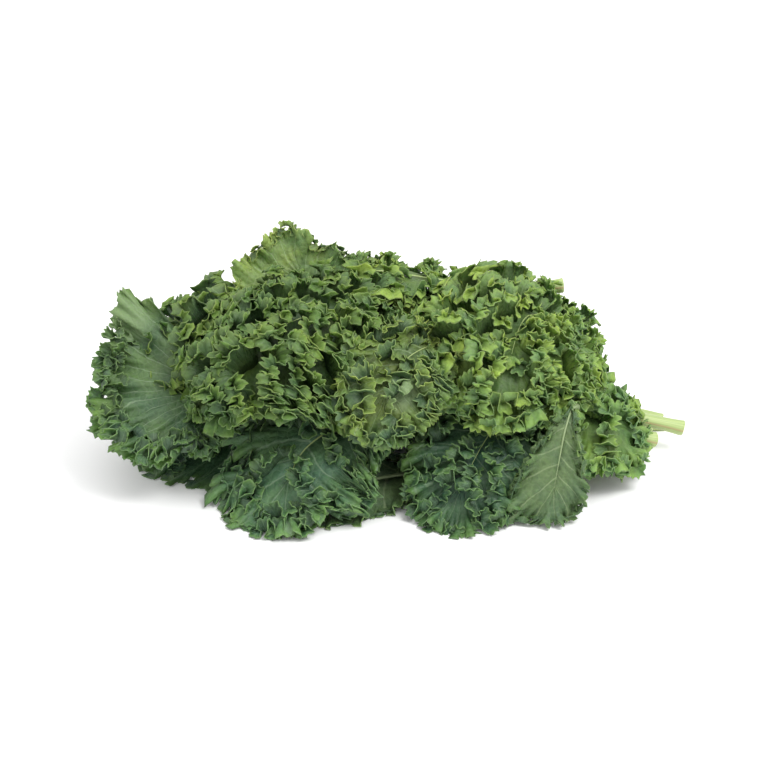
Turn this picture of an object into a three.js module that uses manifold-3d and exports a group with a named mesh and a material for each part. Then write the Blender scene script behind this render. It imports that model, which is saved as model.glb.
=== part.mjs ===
// A bunch of curly kale, cut and laid down. Millimetres, +Z up.
// The stalks lie together and their cut ends point to +X. The tips lie towards -X and the front, which is -Y.
// Each leaf is one solid: a tapering stalk that runs on as the midrib, a thin waved blade to both sides of it,
// and on the curly leaves ruffled frills that stand off the upper face along the side veins.
import * as THREE from "three";
import { mergeVertices } from "three/addons/utils/BufferGeometryUtils.js";
import Module from "manifold-3d";

const wasm = await Module();
wasm.setup();

const BLADE_THICKNESS = 1.0;
const FRILL_THICKNESS = 0.9;
const GAP = 0.75; // kept between two leaves that would touch
const STALK_RADIUS = 4.6; // at the cut end
const STALK_TAPER = 3.4; // how much thinner the midrib is at the tip
const STALK_SIDES = 6;
const STALK_STEP = 28;
const BLADE_WAVE = 30; // length of the blade's main wave, along its outline
const FRILL_WAVE = 21; // wave length along a frill
const WAVE_SAMPLES = 3; // columns for each wave
const FRILL_ROOT = -1.1; // frills go through the blade and show below it as raised veins
const FLARE = 0.22; // how much wider a blade is towards its tip than in the middle
const BASE_ANGLE = THREE.MathUtils.degToRad(172); // the outline runs from here round the tip to the other side

const LYING_HEIGHT = 5; // blades that would hang lower than this are laid along the surface that the bunch lies on
const LOWEST = 1.3; // the middle of the lowest blades
const FLAT_HEIGHT = 1.1; // the lowest spots are flattened up to here, and the bunch lies on them
const FOOT = [8.19, 16.46]; // the middle of the footprint
const SHORTEST_EDGE = 0.004;
const THINNEST_FACE = 0.004;

const UP = [0, 0, 1];

// Each leaf: its colour, points of its spine from the cut end to the tip, the way its upper face looks from the cut
// end to the tip, how sharply it curls across (1/mm, below 0 when its sides droop), the length and half width of the
// blade, the frills on each side of the midrib and how far they stand off it. A flare makes the blade wider or, below
// 0, narrower towards its tip. A spur is a lobe or, below 0, a bay of the outline: where it is round the blade, in
// degrees from the tip, its size, and how wide it is. Where two leaves would cross, the one further down the list
// gives way.
const LEAVES = [
  {
    name: "front_pale_leaf",
    colour: "#6f8360",
    spine: [[118, -20, 50], [112, -42, 60], [107, -57, 52], [104, -68, 28], [101, -76, 2]],
    faces: [[0, 0.1, -1], [0.2, 0.3, -0.9], [0, 0.8, -0.6], [0, 0.9, -0.2]],
    bend: [1 / 120, 1 / 90], blade: 76, width: 21, frills: 0, height: 0,
    flare: 0.7, spurs: [[0, -0.1, 20], [-30, 0.06, 9], [38, 0.1, 9]],
  },
  {
    name: "centre_leaf",
    colour: "#5d7848",
    spine: [[150, 14, 30], [90, 10, 52], [44, -4, 84], [16, -28, 88], [2, -50, 72], [-4, -64, 48]],
    faces: [UP, UP, [0, -0.4, 0.9], [0, -0.9, 0.4]],
    bend: [-1 / 90, -1 / 80], blade: 98, width: 30, frills: 0, height: 0,
  },
  {
    name: "top_left_leaf",
    colour: "#637c47",
    spine: [[120, 84, 14], [40, 78, 38], [-30, 70, 80], [-56, 76, 104], [-64, 82, 126]],
    faces: [UP, [0, 0, 1], [-0.2, -0.5, 0.8], [0, -0.9, 0.4]],
    bend: [1 / 90, 1 / 140], blade: 112, width: 52, frills: 0, height: 0,
    flare: -0.25, spurs: [[0, 0.1, 16], [-80, -0.3, 36], [62, 0.16, 30]],
  },
  {
    name: "left_dome_leaf",
    colour: "#49633a",
    spine: [[193, 16, 20], [140, 26, 30], [60, 42, 56], [0, 38, 87], [-48, 8, 98], [-90, -26, 81], [-102, -42, 50]],
    faces: [UP, UP, [-0.1, -0.25, 0.95], [-0.4, -0.55, 0.7], [-0.8, -0.6, 0.1]],
    bend: [-1 / 90, -1 / 66], blade: 188, width: 71, frills: 5, height: 20,
  },
  {
    name: "right_dome_leaf",
    colour: "#50693c",
    spine: [[176, 30, 9], [158, 38, 14], [141, 50, 34], [129, 52, 62], [92, 22, 94], [75, -24, 82], [69, -48, 50]],
    faces: [UP, [0.3, 0, 0.9], [0.3, -0.1, 0.9], [0.1, -0.5, 0.8], [0, -0.9, 0.3]],
    bend: [-1 / 90, -1 / 64], blade: 166, width: 69, frills: 4, height: 19,
  },
  {
    name: "far_left_leaf",
    colour: "#52674d",
    spine: [[120, 20, 12], [20, 12, 26], [-70, 0, 46], [-130, -2, 56], [-176, -4, 58]],
    faces: [UP, UP, [0, -0.5, 0.85], [-0.1, -0.6, 0.8]],
    bend: [1 / 90, 1 / 160], blade: 104, width: 56, frills: 0, height: 0,
    spurs: [[-54, 0.22, 12], [-96, -0.5, 23]],
  },
  {
    name: "front_left_leaf",
    colour: "#3a5238",
    spine: [[140, -16, 16], [50, -14, 30], [-8, -22, 44], [-44, -42, 36], [-58, -66, 15], [-60, -84, 1]],
    faces: [UP, UP, [-0.2, -0.4, 0.9], [-0.3, -0.7, 0.6]],
    bend: [-1 / 140, -1 / 90], blade: 118, width: 49, frills: 1, height: 12,
    spurs: [[0, 0.08, 16]],
  },
  {
    name: "front_mid_leaf",
    colour: "#3f5a37",
    spine: [[172, 0, 20], [114, -6, 34], [76, -24, 46], [52, -54, 29], [38, -82, -3]],
    faces: [UP, UP, [0, -0.4, 0.9], [-0.1, -0.7, 0.6]],
    bend: [-1 / 90, -1 / 70], blade: 115, width: 42, frills: 1, height: 12,
    flare: -0.1, spurs: [[0, 0.08, 16]],
  },
  {
    name: "right_leaf",
    colour: "#4b6339",
    spine: [[20, 26, 34], [84, 24, 44], [118, 0, 45], [140, -20, 35], [152, -32, 14]],
    faces: [UP, UP, [0.3, -0.5, 0.8], [0.7, -0.5, 0.4]],
    bend: [-1 / 90, -1 / 60], blade: 108, width: 43, frills: 1, height: 12,
  },
  {
    name: "top_centre_leaf",
    colour: "#5a7442",
    spine: [[120, 84, 92], [78, 84, 88], [30, 82, 96], [-10, 78, 102], [-40, 80, 86], [-60, 88, 60]],
    faces: [UP, [0, 0.1, 1], [0, 0.1, 1], [-0.6, 0.3, 0.7]],
    bend: [-1 / 80, -1 / 80], blade: 130, width: 48, frills: 1, height: 12,
  },
  {
    name: "back_left_leaf",
    colour: "#4c663c",
    spine: [[130, 62, 12], [30, 64, 40], [-60, 56, 80], [-106, 48, 88], [-142, 38, 66], [-152, 34, 40]],
    faces: [UP, UP, [-0.2, 0, 1], [-0.8, -0.2, 0.5]],
    bend: [-1 / 80, -1 / 70], blade: 140, width: 56, frills: 2, height: 14,
  },
  {
    name: "back_right_leaf",
    colour: "#4b6339",
    spine: [[186, 46, 10], [144, 60, 20], [116, 78, 28], [98, 95, 16], [94, 104, -6]],
    faces: [UP, [0, 0.4, 0.9], [0, 0.9, 0.3]],
    bend: [-1 / 80, -1 / 70], blade: 112, width: 46, frills: 1, height: 12,
  },
  {
    name: "front_turned_leaf",
    colour: "#5c7250",
    spine: [[150, -12, 5.4], [70, -20, 7], [14, -30, 10], [-32, -47, 8], [-64, -67, 2]],
    faces: [[0, -0.2, -1], [0, 0.1, -1], [0, 0.3, -0.9]],
    bend: [1 / 110, 1 / 110], blade: 110, width: 32, frills: 0, height: 0,
  },
  {
    name: "lower_left_leaf",
    colour: "#41583b",
    spine: [[150, 4, 5.4], [40, -2, 5.4], [-50, 4, 12], [-110, 13, 11], [-158, 18, 5]],
    faces: [UP, [0, -0.3, 0.95], [0, -0.35, 0.9]],
    bend: [-1 / 120, -1 / 120], blade: 130, width: 45, frills: 0, height: 0,
  },
  {
    name: "under_leaf",
    colour: "#44593c",
    spine: [[188, 50, 5.4], [130, 44, 5.4], [60, 40, 9], [-10, 44, 11], [-60, 50, 14]],
    faces: [UP, UP, UP],
    bend: [1 / 160, 1 / 120], blade: 170, width: 60, frills: 0, height: 0,
  },
];

const TAU = 2 * Math.PI;
const clamp = THREE.MathUtils.clamp;

function smooth(x, low, high) {
  const t = clamp((x - low) / (high - low), 0, 1);
  return t * t * (3 - 2 * t);
}

// A fixed number from 0 to 1 for the whole number k.
const pick = (k) => Math.abs(Math.sin(k * 12.9898 + 0.37) * 43758.5453) % 1;

// A value from a list that is spread evenly from the cut end, t = 0, to the tip, t = 1.
function between(list, t, mix) {
  const at = t * (list.length - 1);
  const i = Math.min(list.length - 2, Math.floor(at));
  return mix(list[i], list[i + 1], at - i);
}

// The spine's length, and place(), which takes a point of the flat leaf to the bunch: x along the leaf, y across it,
// z off its upper face.
function leafLine({ spine, faces, bend }) {
  const points = spine.map((p) => new THREE.Vector3(...p));
  const curve = new THREE.CatmullRomCurve3(points, false, "catmullrom", 0.5);
  const length = curve.getLength();
  const looks = faces.map((f) => new THREE.Vector3(...f).normalize());
  const place = (x, y, z) => {
    const t = clamp(x / length, 0, 1);
    const along = curve.getTangentAt(t);
    const out = between(looks, t, (a, b, s) => a.clone().lerp(b, s));
    out.addScaledVector(along, -out.dot(along)).normalize();
    const side = out.clone().cross(along);
    const curl = between(bend, t, THREE.MathUtils.lerp);
    const turn = curl * y;
    const across = Math.sin(turn) / curl - z * Math.sin(turn);
    const off = (1 - Math.cos(turn)) / curl + z * Math.cos(turn);
    return curve
      .getPointAt(t)
      .addScaledVector(along, x - t * length)
      .addScaledVector(side, across)
      .addScaledVector(out, off);
  };
  // As place(), but what would hang low is laid along the surface.
  const lay = (x, y, z) => {
    const at = place(x, y, z);
    const fall = LYING_HEIGHT - LOWEST;
    if (at.z < LYING_HEIGHT) at.z = LOWEST + fall * Math.exp((at.z - LYING_HEIGHT) / fall);
    return at;
  };
  return { length, place, lay };
}

// The triangles between two rows of points, where the next row has as many steps or twice as many.
function strip(first, count, next, nextCount) {
  const faces = [];
  for (let i = 0; i < count - 1; i++) {
    const a = first + i;
    const b = first + i + 1;
    if (nextCount === count) faces.push([a, b, next + i + 1], [a, next + i + 1, next + i]);
    else {
      const c = next + 2 * i;
      faces.push([a, c + 1, c], [a, b, c + 1], [b, c + 2, c + 1]);
    }
  }
  return faces;
}

// A closed thin solid round a sheet that is given as rows of points.
function thinSolid(rows, thickness) {
  const points = rows.flat();
  const faces = [];
  let first = 0;
  for (let r = 0; r + 1 < rows.length; r++) {
    const next = first + rows[r].length;
    faces.push(...strip(first, rows[r].length, next, rows[r + 1].length));
    first = next;
  }
  const normals = points.map(() => new THREE.Vector3());
  for (const [a, b, c] of faces) {
    const n = points[b].clone().sub(points[a]).cross(points[c].clone().sub(points[a]));
    for (const i of [a, b, c]) normals[i].add(n);
  }
  const shifted = (d) => points.map((p, i) => p.clone().addScaledVector(normals[i].clone().normalize(), d));
  return closed(shifted(thickness / 2), shifted(-thickness / 2), faces);
}

// A closed solid between two sheets with the same triangles.
function closed(top, bottom, faces) {
  const below = top.length;
  const all = [];
  const edges = new Map();
  for (const [a, b, c] of faces) {
    all.push(a, b, c, a + below, c + below, b + below);
    for (const [p, q] of [[a, b], [b, c], [c, a]]) {
      if (edges.has(`${q} ${p}`)) edges.delete(`${q} ${p}`);
      else edges.set(`${p} ${q}`, [p, q]);
    }
  }
  for (const [p, q] of edges.values()) all.push(q, p, p + below, q, p + below, q + below);
  return solid([...top, ...bottom], all);
}

function solid(corners, index) {
  const mesh = new wasm.Mesh({
    numProp: 3,
    vertProperties: new Float32Array(corners.flatMap((p) => [p.x, p.y, p.z])),
    triVerts: new Uint32Array(index),
  });
  return new wasm.Manifold(mesh);
}

const waveHeight = (leaf) => 0.14 * leaf.width + 1.5;

const midribRadius = (x, length) => STALK_RADIUS - STALK_TAPER * clamp(x / length, 0, 1);

// The flat outline of the blade: the margin at an angle round it, and where the vein to that point leaves the midrib.
function bladePlan(leaf, length) {
  const reach = leaf.blade / 2;
  const centre = length - reach;
  const outline = (angle) => {
    const root = centre + reach * (-1 + 0.72 * (1 + Math.cos(angle)));
    let grown = 1;
    for (const [at, size, wide] of leaf.spurs ?? []) {
      grown += size * Math.exp(-(((THREE.MathUtils.radToDeg(angle) - at) / wide) ** 2));
    }
    return {
      x: centre + grown * reach * Math.cos(angle),
      y: grown * leaf.width * Math.sin(angle) * (1 + (leaf.flare ?? FLARE) * Math.cos(angle)),
      root,
      off: 0.5 * midribRadius(root, length) * clamp(3 * Math.sin(angle), -1, 1),
    };
  };
  return { reach, centre, outline };
}

// The blade: a sheet from the midrib to its outline, in waves that grow towards the outline.
function blade(leaf, line, seed, extra) {
  const { outline } = bladePlan(leaf, line.length);
  const fine = Array.from({ length: 401 }, (_, i) => outline((1 - i / 200) * BASE_ANGLE));
  const run = [0];
  for (let i = 1; i < fine.length; i++) {
    run.push(run[i - 1] + Math.hypot(fine[i].x - fine[i - 1].x, fine[i].y - fine[i - 1].y));
  }
  const height = waveHeight(leaf);
  const columns = 4 * Math.round((run[400] / BLADE_WAVE) * (WAVE_SAMPLES / 4));
  const point = (u, v) => {
    const p = outline((1 - 2 * u) * BASE_ANGLE);
    const lobe = 1 + 0.07 * Math.cos((1 - 2 * u) * BASE_ANGLE * 11 + seed);
    const s = run[Math.round(u * 400)];
    const phase = (TAU * s) / BLADE_WAVE + 1.2 * Math.sin(s / 37 + seed);
    const lift = height * smooth(v, 0.4, 1) ** 1.2 * Math.sin(phase);
    const r = v * lobe;
    return line.lay(p.root + (p.x - p.root) * r, p.off + (p.y - p.off) * r, lift);
  };
  const row = (v, count) => Array.from({ length: count + 1 }, (_, i) => point(i / count, v));
  const edge = 1 + (2 * extra) / leaf.width;
  const rows = [row(0, columns / 4), row(0.45, columns / 2), row(0.75, columns / 2), row(edge, columns)];
  return thinSolid(rows, BLADE_THICKNESS + 2 * extra);
}

// One frill: a ruffled strip that stands off the upper face, along a line from the midrib to near the outline.
function frill(line, start, end, height, lean, seed, extra) {
  const run = end.clone().sub(start);
  const length = run.length();
  const ahead = run.normalize();
  const aside = new THREE.Vector2(-ahead.y, ahead.x);
  const amplitude = 0.38 * height;
  const columns = 2 * Math.round((length / FRILL_WAVE) * (WAVE_SAMPLES / 2));
  const point = (u, v) => {
    const stand = height * (0.35 + 0.65 * Math.sin(Math.PI * clamp(u, 0, 1) ** 0.8));
    const phase = (TAU * u * length) / FRILL_WAVE + TAU * pick(seed) + 0.9 * Math.sin(u * 5 + seed);
    const wave = amplitude * smooth(v, -0.1, 1) * Math.sin(phase) + lean * v * v * stand;
    const at = start.clone().addScaledVector(ahead, u * length).addScaledVector(aside, v > 0 ? wave : 0);
    return line.lay(at.x, at.y, FRILL_ROOT + (stand - FRILL_ROOT) * v);
  };
  const past = extra / length;
  const row = (v, count) =>
    Array.from({ length: count + 1 }, (_, i) => point(-past + (1 + 2 * past) * (i / count), v));
  const rows = [row(-extra / height, columns / 2), row(1 + extra / height, columns)];
  return thinSolid(rows, FRILL_THICKNESS + 2 * extra);
}

function frills(leaf, line, first, extra) {
  const { reach, centre, outline } = bladePlan(leaf, line.length);
  const made = [];
  for (const side of [-1, 1]) {
    for (let i = 0; i < leaf.frills; i++) {
      const share = (i + 0.5) / leaf.frills;
      const k = first + made.length + 1;
      const tip = outline(side * THREE.MathUtils.degToRad(155 - 140 * share));
      const start = new THREE.Vector2(centre - reach + 8 + share * (2 * reach - 46), 3 * side);
      const end = new THREE.Vector2(centre + (tip.x - centre) * 0.9, tip.y * 0.86);
      const height = leaf.height * (0.9 + 0.3 * pick(k + 31));
      made.push(frill(line, start, end, height, 0.5 * (pick(k) - 0.3), k, extra));
    }
  }
  return made;
}

// The stalk, which runs on as the midrib almost to the tip. It stands out more below the blade than above it.
function stalk(leaf, line, extra) {
  const { reach, centre } = bladePlan(leaf, line.length);
  const end = centre + 0.46 * reach;
  const rings = Math.round(end / STALK_STEP) + 1;
  const corners = [];
  const index = [];
  for (let r = 0; r < rings; r++) {
    const x = (end * r) / (rings - 1);
    const radius = midribRadius(x, line.length) + extra;
    for (let s = 0; s < STALK_SIDES; s++) {
      const a = (TAU * s) / STALK_SIDES;
      corners.push(line.place(x, radius * Math.cos(a), 0.9 * radius * Math.sin(a) - 0.4 * radius));
    }
  }
  for (let r = 0; r + 1 < rings; r++) {
    for (let s = 0; s < STALK_SIDES; s++) {
      const a = r * STALK_SIDES + s;
      const b = r * STALK_SIDES + ((s + 1) % STALK_SIDES);
      index.push(a, b, b + STALK_SIDES, a, b + STALK_SIDES, a + STALK_SIDES);
    }
  }
  const last = (rings - 1) * STALK_SIDES;
  for (let s = 1; s + 1 < STALK_SIDES; s++) index.push(0, s + 1, s, last, last + s, last + s + 1);
  return solid(corners, index);
}

function leafSolid(leaf, line, n, extra) {
  let made = blade(leaf, line, 1.7 * n, extra);
  for (const f of frills(leaf, line, 40 * n, extra)) made = made.add(f);
  return made.add(stalk(leaf, line, extra));
}

// The space that a leaf keeps for itself: its blade without the waves, as thick as the waves and frills reach.
function leafSpace(leaf, line) {
  const { outline } = bladePlan(leaf, line.length);
  const low = -0.9 * waveHeight(leaf) - GAP;
  const high = Math.max(leaf.height, 0.9 * waveHeight(leaf)) + GAP;
  const columns = 24;
  const sheet = (z) =>
    [0, 0.5, 1.02].map((v) =>
      Array.from({ length: columns + 1 }, (_, i) => {
        const p = outline((1 - (2 * i) / columns) * BASE_ANGLE);
        return line.place(p.root + (p.x - p.root) * v, p.off + (p.y - p.off) * v, z);
      }),
    );
  const top = sheet(high).flat();
  const bottom = sheet(low).flat();
  const faces = [];
  for (let r = 0; r < 2; r++) {
    faces.push(...strip(r * (columns + 1), columns + 1, (r + 1) * (columns + 1), columns + 1));
  }
  return closed(top, bottom, faces).add(stalk(leaf, line, GAP));
}

// Joins leave some triangles with almost no height. Each one's longest edge is turned to the far corner of its
// neighbour there, which takes the thin triangle away and leaves the surface where it was.
function turnThinFaces(faces, points) {
  const key = (a, b) => a * points.length + b;
  const owner = new Map();
  const own = (f) => faces[f].forEach((a, i) => owner.set(key(a, faces[f][(i + 1) % 3]), f));
  const disown = (f) => faces[f].forEach((a, i) => owner.delete(key(a, faces[f][(i + 1) % 3])));
  faces.forEach((_, f) => own(f));
  for (let round = 0; round < 6; round++) {
    let turned = 0;
    for (let f = 0; f < faces.length; f++) {
      const sides = faces[f].map((a, i) => points[a].distanceTo(points[faces[f][(i + 1) % 3]]));
      const i = sides.indexOf(Math.max(...sides));
      const [a, b, c] = [0, 1, 2].map((step) => faces[f][(i + step) % 3]);
      const area = points[b].clone().sub(points[a]).cross(points[c].clone().sub(points[a])).length();
      if (area / sides[i] > THINNEST_FACE) continue;
      const g = owner.get(key(b, a));
      const d = faces[g]?.find((corner) => corner !== a && corner !== b);
      if (d === undefined || c === d || owner.has(key(c, d)) || owner.has(key(d, c))) continue;
      disown(f);
      disown(g);
      faces[f] = [a, d, c];
      faces[g] = [d, b, c];
      own(f);
      own(g);
      turned += 1;
    }
    if (!turned) return;
  }
}

// The largest of the separate bodies, without any sealed hollow, very short edge or thin face.
function largestBody(made) {
  const body = made.decompose().reduce((a, b) => (b.volume() > a.volume() ? b : a));
  const { vertProperties, triVerts } = body.getMesh();
  const geometry = new THREE.BufferGeometry();
  geometry.setAttribute("position", new THREE.BufferAttribute(vertProperties, 3));
  geometry.setIndex(new THREE.BufferAttribute(triVerts, 1));
  const { attributes, index } = mergeVertices(geometry, SHORTEST_EDGE);
  const points = [];
  for (let i = 0; i < attributes.position.count; i++) {
    points.push(new THREE.Vector3().fromBufferAttribute(attributes.position, i));
  }
  const faces = [];
  for (let i = 0; i < index.count; i += 3) {
    const [a, b, c] = index.array.subarray(i, i + 3);
    if (a !== b && b !== c && c !== a) faces.push([a, b, c]);
  }
  turnThinFaces(faces, points);
  return solid(points, faces.flat());
}

// A box from one corner to the other.
function boxSolid(low, high) {
  const box = new THREE.BoxGeometry(...high.map((top, axis) => top - low[axis]));
  box.deleteAttribute("normal");
  box.deleteAttribute("uv");
  box.translate(...high.map((top, axis) => (top + low[axis]) / 2));
  const { attributes, index } = mergeVertices(box);
  return new wasm.Manifold(
    new wasm.Mesh({ numProp: 3, vertProperties: attributes.position.array, triVerts: new Uint32Array(index.array) }),
  );
}

// What two leaves still share at a sharp fold, as a box with the gap round it.
function boxRound(shared) {
  const { min, max } = shared.boundingBox();
  const low = min.map((x) => x - GAP);
  const high = max.map((x) => x + GAP);
  return boxSolid(low, high);
}

const group = new THREE.Group();
const underSurface = boxSolid([-400, -400, -100], [400, 400, FLAT_HEIGHT]);
const spaces = [];
const finished = [];
LEAVES.forEach((leaf, n) => {
  const line = leafLine(leaf);
  let kept = leafSolid(leaf, line, n, 0).subtract(underSurface);
  for (const space of spaces) kept = kept.subtract(space);
  for (const other of finished) {
    const shared = kept.intersect(other);
    if (!shared.isEmpty()) kept = kept.subtract(boxRound(shared));
  }
  kept = largestBody(largestBody(kept));
  finished.push(kept);
  spaces.push(leafSpace(leaf, line).add(leafSolid(leaf, line, n, GAP)));
  const { vertProperties, triVerts } = kept.getMesh();
  const geometry = new THREE.BufferGeometry();
  geometry.setAttribute("position", new THREE.BufferAttribute(vertProperties, 3));
  geometry.setIndex(new THREE.BufferAttribute(triVerts, 1));
  geometry.computeVertexNormals();
  const skin = new THREE.MeshStandardMaterial({ color: leaf.colour, roughness: 0.6, metalness: 0 });
  const mesh = new THREE.Mesh(geometry, skin);
  mesh.name = leaf.name;
  mesh.position.set(-FOOT[0], -FOOT[1], -FLAT_HEIGHT);
  group.add(mesh);
});

export default group;
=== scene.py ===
import math

import bpy
import numpy as np
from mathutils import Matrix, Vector


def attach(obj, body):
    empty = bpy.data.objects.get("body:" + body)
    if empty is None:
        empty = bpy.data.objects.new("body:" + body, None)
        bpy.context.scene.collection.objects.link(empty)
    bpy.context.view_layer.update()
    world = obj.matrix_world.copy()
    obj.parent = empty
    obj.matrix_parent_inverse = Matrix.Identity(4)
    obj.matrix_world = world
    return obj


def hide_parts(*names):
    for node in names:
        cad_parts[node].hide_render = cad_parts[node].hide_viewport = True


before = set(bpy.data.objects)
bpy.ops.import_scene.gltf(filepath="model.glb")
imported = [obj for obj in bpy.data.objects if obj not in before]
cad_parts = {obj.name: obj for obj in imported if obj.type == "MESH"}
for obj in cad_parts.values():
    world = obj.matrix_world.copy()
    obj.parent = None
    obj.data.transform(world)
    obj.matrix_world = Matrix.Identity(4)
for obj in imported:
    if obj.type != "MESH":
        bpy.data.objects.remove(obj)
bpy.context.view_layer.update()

# The two domes: big curly leaves folded over the heap, their upper faces hidden under tall crisp frills.
# Kale leaf tissue, about half a millimetre thick, on a fleshy stalk that runs on as the midrib.
# Each is a ruffled blade with frills standing on both sides of the midrib, all grown from the one leaf.

# leaf sizes are in millimetres, and a leaf's own places are (along it, across it, off its upper face)
TAU = 2 * math.pi
MM = 0.001
UP = (0, 0, 1)
FOOT = (8.19, 16.46, 1.1)          # the point of the heap that the object's frame starts from
BASE_ANGLE = math.radians(172)     # where the margin meets the midrib at the blade's foot
STALK_RADIUS = 4.6                 # at the cut end
STALK_TAPER = 3.4                  # lost from there to the tip
TISSUE = 0.45
LYING_HEIGHT = 5                   # below this a leaf is pressed flat by the heap
LOWEST = 1.5                       # and never comes lower than this
BLADE_TOOTH_SPACING = 2.7
FRILL_TOOTH_SPACING = 2.05
WAVE_LENGTH = 30                   # of the broad waves of a blade's margin
STRIP_LEVELS = (0, 0.4, 0.68, 0.83, 0.93, 1)
FLAP_TURN = math.radians(100)      # how far the flaps on top of a frill lie over
FLAP_NOTCH = 0.75                  # how deep the notches between them are, as a share of a flap
RUFFLE_LENGTH = 5.6
RUFFLE_HEIGHT = 0.8
FRILL_ROOT_DEPTH = 2.5             # how far a frill's foot reaches into the blade
HEM_LOBE = 10.5


def pick(k):
    """A fixed number from 0 to 1 for the whole number k."""
    return abs(math.sin(k * 12.9898 + 0.37) * 43758.5453) % 1.0


def smooth(x, lo, hi):
    """0 up to lo, 1 from hi, and a soft step between them."""
    t = np.clip((x - lo) / (hi - lo), 0, 1)
    return t * t * (3 - 2 * t)


def uneven(s, every, shift):
    """A slow swing from -1 to 1 that keeps a pattern along an edge from being regular."""
    return np.sin(s / every + shift)


def unit(a):
    return a / (np.linalg.norm(a, axis=-1, keepdims=True) + 1e-12)


def midrib_line(spine, faces, bend, run_points=60, samples=160):
    """The line of the stalk and midrib, with the way the leaf's upper face looks along it."""
    p = np.array(spine, float)
    ends = np.vstack([2 * p[0] - p[1], p, 2 * p[-1] - p[-2]])
    runs = []
    for i in range(len(p) - 1):
        before, here, there, after = ends[i:i + 4]
        t = np.linspace(0, 1, run_points, endpoint=(i == len(p) - 2))[:, None]
        a = 0.5 * (there - before)
        b = 0.5 * (after - here)
        runs.append(here + a * t + (3 * (there - here) - 2 * a - b) * t**2
                    + (2 * (here - there) + a + b) * t**3)
    q = np.vstack(runs)
    far = np.r_[0, np.cumsum(np.linalg.norm(np.diff(q, axis=0), axis=1))]
    at = np.linspace(0, far[-1], samples)
    line = {"length": far[-1], "at": at}
    line["place"] = np.stack([np.interp(at, far, q[:, k]) for k in range(3)], 1)
    line["along"] = unit(np.gradient(line["place"], at, axis=0))
    f = unit(np.array(faces, float))
    s = np.linspace(0, far[-1], len(f))
    f = np.stack([np.interp(at, s, f[:, k]) for k in range(3)], 1)
    line["out"] = unit(f - (f * line["along"]).sum(1)[:, None] * line["along"])
    line["side"] = np.cross(line["out"], line["along"])
    line["bend"] = np.interp(at, np.linspace(0, far[-1], len(bend)), np.array(bend, float))
    return line


def lay(line, p, lying=True, straight=1e-5):
    """Takes points of the leaf to their place in the bunch, and presses the lowest of them flat."""
    x, y, z = p[..., 0], p[..., 1], p[..., 2]
    xc = np.clip(x, 0, line["length"])

    def read(name):
        return np.stack([np.interp(xc, line["at"], line[name][:, k]) for k in range(3)], -1)

    k = np.interp(xc, line["at"], line["bend"])
    k = np.where(np.abs(k) < straight, straight, k)
    turn = k * y
    across = np.sin(turn) / k - z * np.sin(turn)
    off = (1 - np.cos(turn)) / k + z * np.cos(turn)
    q = (read("place") + (x - xc)[..., None] * read("along")
         + across[..., None] * read("side") + off[..., None] * read("out"))
    if lying:
        room = LYING_HEIGHT - LOWEST
        pressed = LOWEST + room * np.exp((np.minimum(q[..., 2], LYING_HEIGHT) - LYING_HEIGHT) / room)
        q[..., 2] = np.where(q[..., 2] < LYING_HEIGHT, pressed, q[..., 2])
    return q - np.array(FOOT)


def ruffle(p, height, slide):
    """A sheet of points pushed off its face by height and along its edge by slide."""
    du = np.gradient(p, axis=0)
    dv = np.gradient(p, axis=1)
    return p + height[..., None] * unit(np.cross(du, dv)) + slide[..., None] * unit(du)


def edge_run(p):
    """How far each column of a sheet lies along its outer edge."""
    step = np.linalg.norm(np.diff(p[:, -1], axis=0), axis=1)
    return np.r_[0, np.cumsum(step)][:, None]


def teeth(p, v, length, spacing, seed):
    """Small lobes parted by sharp bays, with pointed teeth on them, cut into a sheet's outer edge."""
    lobe_every, lobe_share, lobe_mean = 2.15 * spacing, 1.2, 0.62
    point_share, point_mean = 0.45, 0.5
    s = edge_run(p)
    point_beat = s / spacing + 0.5 * uneven(s, 7.3, seed) + 0.3 * uneven(s, 2.9, 2 * seed)
    point = 1 - np.abs((point_beat % 1.0) - 0.5) * 2
    lobe = np.abs(np.sin(math.pi * s / lobe_every + 0.9 * uneven(s, 11, seed) + 3 * seed)) ** 0.7
    big = 1 + 0.45 * uneven(s, 6.7, 5 * seed)
    grown = length * (lobe_share * big * (lobe - lobe_mean) + point_share * (point - point_mean))
    grown = grown * smooth(v, 0.55, 1.0) ** 1.2
    curl = 0.5 * length * big * (lobe - 0.6) * uneven(s, 3.7, seed) * smooth(v, 0.6, 1.0)
    du = unit(np.gradient(p, axis=0))
    dv = unit(np.gradient(p, axis=1))
    return p + grown[..., None] * dv + curl[..., None] * unit(np.cross(du, dv))


def sheet(name, p, materials):
    """The grid primitive with its corners moved to the sheet's points."""
    cols, rows = p.shape[0] - 1, p.shape[1] - 1
    bpy.ops.object.select_all(action="DESELECT")
    bpy.ops.mesh.primitive_grid_add(x_subdivisions=cols, y_subdivisions=rows, size=2)
    piece = bpy.context.object
    piece.name = name
    at = np.zeros(len(piece.data.vertices) * 3)
    piece.data.vertices.foreach_get("co", at)
    at = at.reshape(-1, 3)
    i = np.rint((at[:, 0] + 1) / 2 * cols).astype(int)
    j = np.rint((at[:, 1] + 1) / 2 * rows).astype(int)
    piece.data.vertices.foreach_set("co", (p[i, j] * MM).ravel())
    for m in materials:
        piece.data.materials.append(m)
    return piece


def outline(leaf, angle):
    """The leaf's margin at an angle round its blade, 0 at the tip."""
    reach = leaf["blade"] / 2
    centre = leaf["line"]["length"] - reach
    x = centre + reach * np.cos(angle)
    y = leaf["width"] * np.sin(angle) * (1 + leaf.get("flare", 0.22) * np.cos(angle))
    reach_out = 1 + 0 * angle
    for at, size, wide in leaf.get("spurs", ()):
        reach_out = reach_out + size * np.exp(-((np.degrees(angle) - at) / wide) ** 2)
    return centre + (x - centre) * reach_out, y * reach_out


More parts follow.
